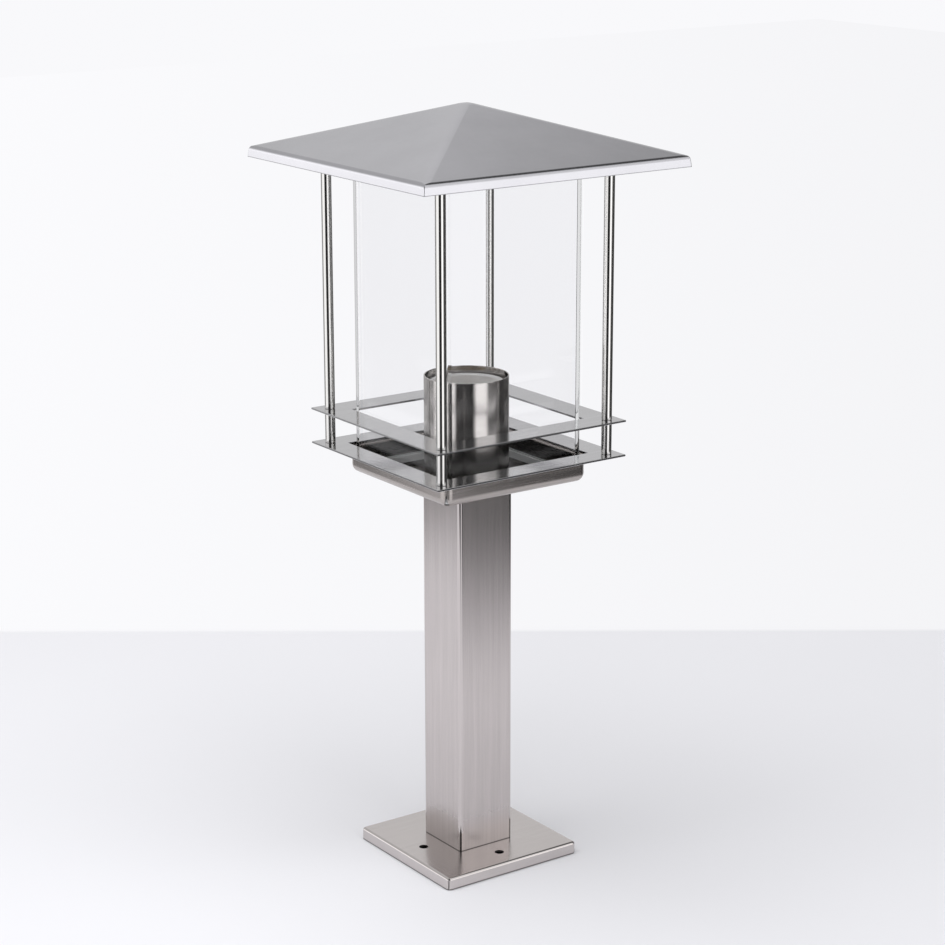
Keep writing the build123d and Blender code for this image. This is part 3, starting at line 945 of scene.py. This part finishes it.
@dataclass
class TrayAndFrames:
    """Drawn tray and its two flat frames."""

    # the tray's finish paints shade on its inside
    pan: Steel = DrawnPan(
        (0.455, 0.42, 0.40), 0.27, Grain.AROUND_Z, line=0.4 * MM, contrast=0.18, depth=0.008 * MM,
        half=49.9 * MM, sheet=0.8 * MM, foot=corners_of("tray")[0].z)
    # the frames' finish paints a highlight along their outer edges
    sheet: Steel = CutSheet(
        (0.56, 0.555, 0.57), 0.14, Grain.ALONG_X, line=0.35 * MM, contrast=0.20, swing=0.04,
        depth=0.006 * MM, half=corners_of("upper_frame")[1].x)
    seam: CornerSeam = CornerSeam(70.0 * MM, 5.4 * MM, 232.0 * MM, 240.0 * MM, 3.4 * MM, 0.3 * MM)

    def dress(self) -> None:
        """Give the tray a satin finish with painted shade inside and the frames a brighter one with painted
        edge highlights, and open the tray's corner seams.
        """
        dress(["lower_frame", "upper_frame"], self.sheet.material("polished_sheet"))
        tray = merged_copy("tray", "seamed_tray")
        carve(tray, self.seam.cutters())
        hand_over(tray, "tray", "stand", self.pan.material("satin_tray"))


@dataclass
class RoofAndRods:
    """Folded roof, its inner pan and the eight round bars that carry it."""

    # the roof's finish carries a line of painted shade along its lower edge
    shell: Steel = FootedSteel(
        (0.55, 0.545, 0.575), 0.18, Grain.EVEN, contrast=0.07, cloud=0.11, line=0.43 * MM,
        foot=corners_of("roof")[0].z, dark=0.3, fade=0.6 * MM)
    bar: Steel = Steel(
        (0.66, 0.65, 0.64), 0.12, Grain.AROUND_Z, contrast=0.03, swing=0.01, depth=0.0005 * MM,
        stretch=0.8, turn=0.25)

    def dress(self) -> None:
        """Give the roof a satin finish and the bars a bright one."""
        dress(["roof", "roof_pan"], self.shell.material("satin_roof"))
        bars = [f"{kind}_{corner}" for kind in ("rod", "spacer") for corner in CORNERS]
        dress(bars, self.bar.material("bright_bar"))


@dataclass
class GlassBox:
    """Square glass box with its seat and upper seal."""

    glass: ClearGlass = ClearGlass()
    rubber: Moulded = Moulded((0.55, 0.56, 0.56), 0.5, contrast=0.04)

    def dress(self) -> None:
        """Make the box clear and its seals pale."""
        dress(["glass_shade"], self.glass.material("clear_glass"))
        dress(["glass_seat", "glass_top_seal"], self.rubber.material("silicone"))


@dataclass
class Lampholder:
    """Steel sleeve, porcelain body and contacts of the lampholder."""

    sleeve: Steel = Steel(
        (0.57, 0.545, 0.53), 0.14, Grain.AROUND_Z, contrast=0.10, swing=0.02, depth=0.004 * MM,
        stretch=1.0, turn=0.25)
    china: Moulded = Moulded((0.76, 0.755, 0.745), 0.38, speck=0.7 * MM, contrast=0.16, depth=0.03 * MM)
    brass: Plated = Plated((0.72, 0.52, 0.24), (0.52, 0.36, 0.17), 0.25)
    thread: RolledThread = RolledThread()
    shell_foot: float = 266.0 * MM
    shell_top: float = 283.5 * MM
    leg_gap: float = 0.05 * MM

    def dress(self) -> None:
        """Dress the sleeve bright, the body as porcelain and the contacts as brass, and roll the thread."""
        dress(["lamp_sleeve"], self.sleeve.material("bright_sleeve"))
        dress(["lampholder_body"], self.china.material("porcelain"))
        brass = self.brass.material("contact_brass")
        dress(["centre_contact", "earth_tag"], brass)
        half_sheet = 0.5 * self.thread.sheet
        shell = self.thread.build("rolled_shell", self.shell_foot + half_sheet, self.shell_top - half_sheet)
        leg = merged_copy("screw_shell", "shell_leg")
        choose_all(leg)
        level = (0.0, 0.0, self.shell_foot - self.leg_gap)
        bpy.ops.mesh.bisect(plane_co=level, plane_no=UP, clear_outer=True, use_fill=True, threshold=FINE)
        leave()
        hand_over(join([shell, leg], "rolled_shell"), "screw_shell", "stand", brass)


@dataclass
class Fasteners:
    """Screws, nuts, nipple and bracket, all zinc plated."""

    zinc: Plated = Plated((0.68, 0.69, 0.70), (0.52, 0.52, 0.50), 0.30)
    tray_screw: CrossScrew = CrossScrew(HeadForm.PAN, 3.5 * MM, 2.4 * MM, 2.0 * MM)
    tray_reach: float = 11.5 * MM
    rod_screw: CrossScrew = CrossScrew(HeadForm.SUNK, 2.8 * MM, 1.3 * MM, 1.5 * MM, slot=0.8 * MM)
    rod_reach: float = 57.5 * MM

    @staticmethod
    def four(reach: float, turn: Matrix) -> list[Matrix]:
        """Give four places square about the middle axis."""
        places = [(across, along) for across in (-reach, reach) for along in (-reach, reach)]
        return [Matrix.Translation((across, along, 0.0)) @ turn for across, along in places]

    def dress(self) -> None:
        """Plate the small pieces and cut the recesses of the screws that show."""
        finish = self.zinc.material("zinc_plate")
        dress(["roof_nuts", "nipple", "nipple_nuts", "nipple_washer", "holder_bracket"], finish)
        dress(["holder_screws", "earth_screw", "terminal_screws"], finish)
        low, high = corners_of("tray_screws")
        screw = self.tray_screw.build("tray_screw", high.z - low.z)
        pans = copies(screw, self.four(self.tray_reach, Matrix.Translation((0.0, 0.0, high.z))))
        hand_over(join(pans, "cross_tray_screws"), "tray_screws", "stand", finish)
        low, high = corners_of("rod_screws")
        screw = self.rod_screw.build("rod_screw", high.z - low.z)
        under = Matrix.Translation((0.0, 0.0, low.z)) @ Matrix.Rotation(radians(180), 4, "X")
        sunk = copies(screw, self.four(self.rod_reach, under))
        hand_over(join(sunk, "cross_rod_screws"), "rod_screws", "stand", finish)


@dataclass
class Wiring:
    """Terminal block and the lamp's own leads in the post."""

    block: Moulded = Moulded((0.76, 0.75, 0.71), 0.42, contrast=0.02)
    brown: Moulded = Moulded((0.13, 0.055, 0.025), 0.4, contrast=0.04)
    blue: Moulded = Moulded((0.03, 0.12, 0.42), 0.4, contrast=0.04)
    green: Moulded = Moulded((0.16, 0.34, 0.05), 0.4, contrast=0.04)

    def dress(self) -> None:
        """Dress the block and the leads as moulded plastic."""
        dress(["terminal_block"], self.block.material("block_plastic"))
        dress(["live_wire"], self.brown.material("brown_lead"))
        dress(["neutral_wire"], self.blue.material("blue_lead"))
        dress(["earth_wire"], self.green.material("green_lead"))


@dataclass(frozen=True)
class View:
    """The photograph's view: where the camera stands, what it aims at and how long its lens is."""

    azimuth: float = radians(-35.215)
    elevation: float = radians(15.406)
    roll: float = radians(0.097)
    distance: float = 1.45059
    aim_aside: float = 3.108 * MM
    aim_height: float = 235.036 * MM
    focal_pixels: float = 2488.1
    frame_pixels: float = 945.0
    sensor: float = 36.0

    @property
    def toward(self) -> Vector:
        """Give the level direction towards the camera."""
        return Vector((sin(self.azimuth), -cos(self.azimuth), 0.0))

    @property
    def right(self) -> Vector:
        """Give the level direction to the camera's right."""
        return Vector((cos(self.azimuth), sin(self.azimuth), 0.0))

    @property
    def lens(self) -> float:
        """Give the focal length as a share of the picture's width."""
        return self.focal_pixels / self.frame_pixels

    def camera(self) -> None:
        """Place the camera with its lens and roll."""
        right = self.right
        back = self.toward * cos(self.elevation) + Vector((0.0, 0.0, sin(self.elevation)))
        up = back.cross(right)
        aim = right * self.aim_aside + Vector((0.0, 0.0, self.aim_height))
        rolled_right = right * cos(self.roll) - up * sin(self.roll)
        rolled_up = up * cos(self.roll) + right * sin(self.roll)
        turn = Matrix((rolled_right, rolled_up, back)).transposed().to_4x4()
        data = bpy.data.cameras.new("camera")
        data.sensor_width = self.sensor
        data.lens = self.lens * self.sensor
        camera = bpy.data.objects.new("camera", data)
        camera.matrix_world = Matrix.Translation(aim + back * self.distance) @ turn
        bpy.context.scene.collection.objects.link(camera)
        bpy.context.scene.camera = camera


@dataclass(frozen=True)
class TableSide:
    """What mirrors show of the table on one side: it dims between two distances and ends at a third."""

    dim_from: float
    dim_to: float
    end: float
    level: float

    def blend(self, other: "TableSide", side: Value) -> tuple[Value, Value, Value, Value]:
        """Go over to another side.

        Args:
            other: the other side.
            side: zero on this side and one on the other.

        Returns:
            The four values, as they change from side to side.
        """
        pairs = zip(astuple(self), astuple(other))
        return tuple(mine + (theirs - mine) * side for mine, theirs in pairs)


@dataclass(frozen=True)
class TableTop(Finish):
    """A pale table top that goes over into a white wall, and ends in a dark room where steel mirrors it."""

    view: View = View()
    tint: Colour = (0.745, 0.745, 0.775)
    # painted shade across the table, darker to the right
    fall: float = 0.02
    fall_limit: float = 0.35
    wall_distance: float = 0.40
    wall_bend: float = 5.0 * MM
    wall_tint: Colour = (0.945, 0.945, 0.965)
    wall_level: float = 0.99
    wall_fall: float = 0.055
    wall_limit: float = 0.6
    white_from: float = 0.9
    white_to: float = 1.5
    left: TableSide = TableSide(0.58, 0.86, 0.98, 0.12)
    right: TableSide = TableSide(0.31, 0.78, 0.91, 0.0)
    side_blend: float = 0.1
    end_blend: float = 0.05
    ring: Ring = (
        (-180, 0.0), (-134, 0.0), (-118, 1.0), (-98, 1.0), (-88, 0.0), (-40, 0.0), (-32, 1.0),
        (12, 1.0), (24, 0.0), (44, 0.0), (54, 1.0), (118, 1.0), (134, 0.0), (180, 0.0),
    )

    def inputs(self, tree: FinishTree, place: Value) -> Inputs:
        """Give matt paper with painted shade that makes it a little darker to the right."""
        aside = tree.within(tree.along(place, self.view.right), self.fall_limit)
        return {
            "Base Color": tree.shade(self.tint, 1.0 - self.fall * aside),
            "Roughness": 1.0,
            "Specular IOR Level": 0.0,
        }

    def wall(self, tree: FinishTree, aside: Value, depth: Value) -> Value:
        """Give the white wall, which loses a little light to the picture's right.

        Args:
            tree: the node tree.
            aside: how far to the camera's right.
            depth: how far behind the lantern.

        Returns:
            The wall's shader.
        """
        view = self.view
        ahead = tree.math("MAXIMUM", depth + view.distance * cos(view.elevation), view.distance)
        across = tree.within(view.lens * aside / ahead, self.wall_limit)
        return tree.glow(self.wall_tint, self.wall_level - self.wall_fall * across)

    def surface(self, tree: FinishTree, shader: Value, place: Value) -> Value:
        """Show paper and wall, and in mirrors a table that dims and ends.

        Args:
            tree: the node tree.
            shader: the paper.
            place: the place on the table.

        Returns:
            The mixed shader.
        """
        aside = tree.along(place, self.view.right)
        ahead = tree.along(place, self.view.toward)
        depth = 0.0 - ahead
        reach = tree.out("ShaderNodeVectorMath", {"operation": "LENGTH"}, {0: place}, "Value")
        behind = tree.step(depth, self.wall_distance - self.wall_bend, self.wall_distance + self.wall_bend)
        white = tree.math("MAXIMUM", behind, tree.step(reach, self.white_from, self.white_to))
        seen = tree.cover(white, shader, self.wall(tree, aside, depth))
        side = tree.step(aside, -self.side_blend, self.side_blend)
        dim_from, dim_to, end, level = self.left.blend(self.right, side)
        mirrored = tree.ray("Glossy Depth") > 0.5
        dim = tree.step(reach, dim_from, dim_to) * tree.around(aside, ahead, self.ring)
        dimmed = tree.cover(dim * mirrored, seen, tree.glow((1.0, 1.0, 1.0), level))
        beyond = tree.step(reach, end, end + self.end_blend)
        return tree.cover(beyond * mirrored, dimmed, tree.out("ShaderNodeBsdfTransparent"))


@dataclass
class Studio:
    """White studio with soft light, seen from the photograph's view."""

    table: TableTop = TableTop()
    table_side: float = 8.0
    table_drop: float = 0.3 * MM
    ground_ring: Ring = (
        (-180, 0.50), (-140, 0.45), (-112, 0.34), (-101, 0.36), (-92, 1.4), (-40, 1.4), (-32, 0.02),
        (12, 0.02), (24, 1.7), (50, 1.7), (60, 0.20), (72, 0.08), (84, 0.06), (150, 0.06), (164, 0.45),
        (180, 0.50),
    )
    low_ring: Ring = (
        (-180, 0.70), (-164, 0.68), (-150, 0.55), (-130, 0.60), (-118, 1.8), (-40, 1.8), (-32, 0.03),
        (18, 0.03), (26, 1.7), (78, 1.7), (86, 0.06), (150, 0.06), (164, 0.65), (180, 0.70),
    )
    high_ring: Ring = (
        (-180, 0.75), (-172, 0.76), (-164, 0.67), (-150, 0.60), (-125, 0.60), (-95, 0.55), (-44, 0.5),
        (-36, 0.04), (16, 0.04), (24, 1.0), (90, 1.0), (104, 0.08), (138, 0.07), (152, 0.28), (166, 0.46),
        (174, 0.73), (180, 0.75),
    )
    zenith: Colour = (0.55, 0.55, 0.55)
    ground_to_low: tuple[float, float] = (-0.10, -0.01)
    low_to_high: tuple[float, float] = (0.06, 0.42)
    high_to_zenith: tuple[float, float] = (0.86, 0.98)
    glass_edge: float = 0.6
    lamp_width: float = 2.2
    lamp_depth: float = 2.0
    lamp_watts: float = 42.0
    lamp_aside: float = -0.35
    lamp_ahead: float = 0.45
    lamp_height: float = 2.0
    lamp_aim: float = 0.15

    @property
    def view(self) -> View:
        """Give the view for which the table top is made."""
        return self.table.view

    def floor(self) -> None:
        """Lay the table top a hair below the lantern's foot."""
        bpy.ops.object.select_all(action="DESELECT")
        bpy.ops.mesh.primitive_plane_add(size=self.table_side, location=(0.0, 0.0, -self.table_drop))
        floor = bpy.context.object
        floor.name = "studio_floor"
        floor.data.materials.append(self.table.material("floor_paper"))

    def room(self, tree: FinishTree) -> Value:
        """Give the light of the room by direction, with soft boxes at the sides and dark gaps between.

        Args:
            tree: the world's node tree.

        Returns:
            The light's colour.
        """
        way = tree.out("ShaderNodeTexCoord", output="Generated")
        ahead = tree.along(way, self.view.toward)
        aside = tree.along(way, self.view.right)
        height = tree.along(way, UP)
        rings = (self.ground_ring, self.low_ring, self.high_ring)
        ground, low, high = (tree.around(aside, ahead, ring) for ring in rings)
        skyline = tree.blend(tree.step(height, *self.ground_to_low), ground, low)
        sides = tree.blend(tree.step(height, *self.low_to_high), skyline, high)
        return tree.blend(tree.step(height, *self.high_to_zenith), sides, (*self.zenith, 1.0))

    def world(self) -> None:
        """Light the room, and show the white wall where the camera looks straight or through the glass."""
        world = bpy.data.worlds.new("studio")
        world.use_nodes = True
        tree = FinishTree(world.node_tree)
        unmirrored = 1.0 - (tree.ray("Glossy Depth") > 0.5)
        through = tree.ray("Is Transmission Ray") * unmirrored
        in_glass = tree.math("MODULO", tree.ray("Transmission Depth"), 2.0) > 0.5
        caught = self.glass_edge * tree.ray("Is Glossy Ray") * in_glass
        seen = tree.math("MAXIMUM", tree.ray("Is Camera Ray"), through)
        straight = tree.math("MAXIMUM", seen, caught)
        shown = tree.blend(straight, self.room(tree), (*self.table.wall_tint, 1.0))
        light = tree.out("ShaderNodeBackground", {}, {"Color": shown, "Strength": 1.0})
        tree.node("ShaderNodeOutputWorld", {}, {"Surface": light})
        bpy.context.scene.world = world

    def lamp(self) -> None:
        """Hang one large soft lamp above, to the left and in front."""
        data = bpy.data.lights.new("soft_box", "AREA")
        data.shape = "RECTANGLE"
        data.size = self.lamp_width
        data.size_y = self.lamp_depth
        data.energy = self.lamp_watts
        lamp = bpy.data.objects.new("soft_box", data)
        level = self.view.right * self.lamp_aside + self.view.toward * self.lamp_ahead
        spot = level + Vector((0.0, 0.0, self.lamp_height))
        aim = Vector((0.0, 0.0, self.lamp_aim)) - spot
        lamp.matrix_world = Matrix.Translation(spot) @ aim.to_track_quat("-Z", "Y").to_matrix().to_4x4()
        lamp.visible_glossy = False
        bpy.context.scene.collection.objects.link(lamp)

    def build(self) -> None:
        """Set up camera, floor, world and lamp."""
        self.view.camera()
        self.floor()
        self.world()
        self.lamp()
        bpy.context.scene.view_settings.view_transform = "Standard"


def main() -> None:
    """Dress the lantern from the ground up and set up the studio."""
    logging.basicConfig(level=logging.INFO)
    assemblies = (PostAndBase, TrayAndFrames, RoofAndRods, GlassBox, Lampholder, Fasteners, Wiring)
    for assembly in assemblies:
        assembly().dress()
    Studio().build()


if __name__ == "__main__":
    main()
